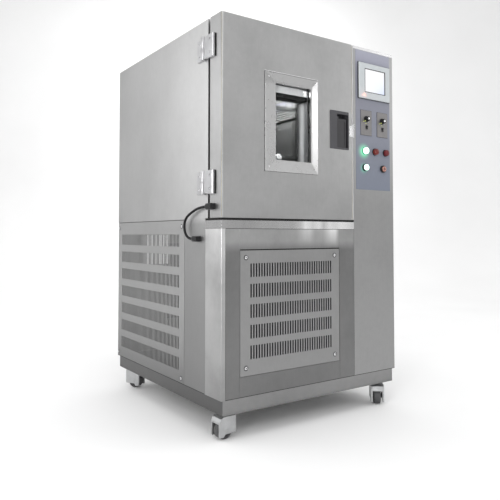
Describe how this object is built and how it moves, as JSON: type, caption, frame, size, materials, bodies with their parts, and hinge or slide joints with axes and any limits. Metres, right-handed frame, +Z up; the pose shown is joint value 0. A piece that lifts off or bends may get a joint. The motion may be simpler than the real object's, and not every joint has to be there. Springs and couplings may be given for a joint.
{
  "type": "environmental test chamber",
  "caption": "Free-standing stainless test chamber on casters, with a hinged window door, grilled machine compartment and a control column.",
  "frame": {"origin": "on the floor, midway between the object's sides and between its front and rear", "axes": "+X to the right along the front, +Y to the rear, +Z up"},
  "size_m": [0.8598, 0.939, 1.441],
  "materials": {
    "stainless": "satin brushed sheet",
    "stainless_polished": "brighter band and window frame",
    "stainless_inner": "smooth inner sheet",
    "galvanised": "galvanised or grey coated steel",
    "chrome": "plated",
    "screw_steel": "bright screws",
    "overlay_film": "blue-grey film",
    "light_plastic": "light grey moulding",
    "screen": "lit display",
    "plate_taupe": "grey anodised plate",
    "black_plastic": "black moulding",
    "charcoal": "charcoal moulding",
    "lamp_lens": "coloured lens",
    "button_green": "lit green cap",
    "button_red": "brick red cap",
    "rubber": "black seal",
    "silicone": "pale silicone seal",
    "glass": "clear pane",
    "foam": "rigid foam insulation",
    "cable": "black sheath",
    "cast_alloy": "cast, silver coated",
    "wheel": "dark grey tread",
    "aluminium": "fins",
    "black_paint": "black enamel",
    "copper": "sheathed element"
  },
  "bodies": {
    "cabinet": {"base_frame": "galvanised", "caster_plates": "galvanised", "cabinet_shell": "stainless", "rear_panel": "stainless", "corner_post": "stainless_polished", "lower_front_frame": "stainless", "front_grille": "stainless", "side_vent_panel": "stainless", "panel_screws": "screw_steel", "control_column": "stainless", "control_overlay": "overlay_film", "screen_bezel": "light_plastic", "touch_screen": "screen", "thermostat_plates": "plate_taupe", "pilot_lamps": "lamp_lens", "button_collars": "black_plastic", "chamber_liner": "stainless_inner", "cabinet_insulation": "foam", "air_baffle": "stainless_inner", "shelves": "stainless_inner", "fan_motor": "black_paint", "heater_coil": "copper", "evaporator": "aluminium", "compressor": "black_paint", "condenser": "aluminium", "condenser_shroud": "galvanised", "control_chassis": "galvanised", "door_cable": "cable", "cable_gland_cabinet": "black_plastic", "cabinet_hinge_leaves": "cast_alloy", "door_striker": "chrome", "mains_gland": "black_plastic", "sill_gasket": "rubber"},
    "door": {"door_shell": "stainless", "door_inner_pan": "stainless_inner", "door_insulation": "foam", "door_gasket": "silicone", "window_frame": "stainless_polished", "window_gasket": "rubber", "window_panes": "glass", "handle_housing": "charcoal", "door_hinge_leaves": "cast_alloy", "cable_gland_door": "black_plastic"},
    "handle_paddle": {"handle_paddle": "charcoal"},
    "thermostat_knob_left": {"thermostat_knob_left": "black_plastic"},
    "thermostat_knob_right": {"thermostat_knob_right": "black_plastic"},
    "thermostat_rocker_left": {"thermostat_rocker_left": "black_plastic"},
    "thermostat_rocker_right": {"thermostat_rocker_right": "black_plastic"},
    "start_button": {"start_button": "button_green"},
    "stop_button": {"stop_button": "button_red"},
    "fan_impeller": {"fan_impeller": "aluminium"},
    "condenser_fan": {"condenser_fan": "black_paint"},
    "caster_front_left": {"caster_housing_front_left": "cast_alloy"},
    "wheel_front_left": {"caster_wheel_front_left": "wheel"},
    "caster_front_right": {"caster_housing_front_right": "cast_alloy"},
    "wheel_front_right": {"caster_wheel_front_right": "wheel"},
    "caster_rear_left": {"caster_housing_rear_left": "cast_alloy"},
    "wheel_rear_left": {"caster_wheel_rear_left": "wheel"},
    "caster_rear_right": {"caster_housing_rear_right": "cast_alloy"},
    "wheel_rear_right": {"caster_wheel_rear_right": "wheel"}
  },
  "joints": [
    {"name": "door_hinge", "type": "hinge", "parent": "cabinet", "child": "door", "pos_m": [-0.4205, -0.3425, 1.096], "axis": [0, 0, -1], "range_deg": [0, 110], "deforming": ["door_cable"]},
    {"name": "handle_pull", "type": "hinge", "parent": "door", "child": "handle_paddle", "pos_m": [0.1165, -0.445, 1.082], "axis": [0, 0, -1], "range_deg": [0, 40], "stiffness_Nm_per_rad": 0.15},
    {"name": "knob_turn_left", "type": "hinge", "parent": "cabinet", "child": "thermostat_knob_left", "pos_m": [0.2705, -0.4595, 1.153], "axis": [0, -1, 0], "range_deg": [-150, 150]},
    {"name": "knob_turn_right", "type": "hinge", "parent": "cabinet", "child": "thermostat_knob_right", "pos_m": [0.3615, -0.4595, 1.153], "axis": [0, -1, 0], "range_deg": [-150, 150]},
    {"name": "rocker_left", "type": "hinge", "parent": "cabinet", "child": "thermostat_rocker_left", "pos_m": [0.2735, -0.4485, 1.12], "axis": [-1, 0, 0], "range_deg": [0, 16]},
    {"name": "rocker_right", "type": "hinge", "parent": "cabinet", "child": "thermostat_rocker_right", "pos_m": [0.3645, -0.4485, 1.12], "axis": [-1, 0, 0], "range_deg": [0, 16]},
    {"name": "start_press", "type": "slide", "parent": "cabinet", "child": "start_button", "axis": [0, 1, 0], "range_m": [0, 0.003], "stiffness_N_per_m": 600},
    {"name": "stop_press", "type": "slide", "parent": "cabinet", "child": "stop_button", "axis": [0, 1, 0], "range_m": [0, 0.003], "stiffness_N_per_m": 600},
    {"name": "circulation_fan_spin", "type": "hinge", "parent": "cabinet", "child": "fan_impeller", "pos_m": [-0.1105, 0.0805, 1.116], "axis": [0, 1, 0], "continuous": true},
    {"name": "condenser_fan_spin", "type": "hinge", "parent": "cabinet", "child": "condenser_fan", "pos_m": [-0.1105, -0.3095, 0.426], "axis": [0, 1, 0], "continuous": true},
    {"name": "swivel_front_left", "type": "hinge", "parent": "cabinet", "child": "caster_front_left", "pos_m": [-0.3505, -0.3955, 0.061], "axis": [0, 0, 1], "continuous": true},
    {"name": "roll_front_left", "type": "hinge", "parent": "caster_front_left", "child": "wheel_front_left", "pos_m": [-0.37048, -0.3963, 0.03], "axis": [0.04, -0.9992, 0], "continuous": true},
    {"name": "swivel_front_right", "type": "hinge", "parent": "cabinet", "child": "caster_front_right", "pos_m": [0.3755, -0.3955, 0.061], "axis": [0, 0, 1], "continuous": true},
    {"name": "roll_front_right", "type": "hinge", "parent": "caster_front_right", "child": "wheel_front_right", "pos_m": [0.36293, -0.41106, 0.03], "axis": [0.7779, -0.6283, 0], "continuous": true},
    {"name": "swivel_rear_left", "type": "hinge", "parent": "cabinet", "child": "caster_rear_left", "pos_m": [-0.3585, 0.4005, 0.061], "axis": [0, 0, 1], "continuous": true},
    {"name": "roll_rear_left", "type": "hinge", "parent": "caster_rear_left", "child": "wheel_rear_left", "pos_m": [-0.34731, 0.38392, 0.03], "axis": [0.829, 0.5593, 0], "continuous": true},
    {"name": "swivel_rear_right", "type": "hinge", "parent": "cabinet", "child": "caster_rear_right", "pos_m": [0.3755, 0.4005, 0.061], "axis": [0, 0, 1], "continuous": true},
    {"name": "roll_rear_right", "type": "hinge", "parent": "caster_rear_right", "child": "wheel_rear_right", "pos_m": [0.38152, 0.38143, 0.03], "axis": [0.9536, 0.3011, 0], "continuous": true}
  ]
}
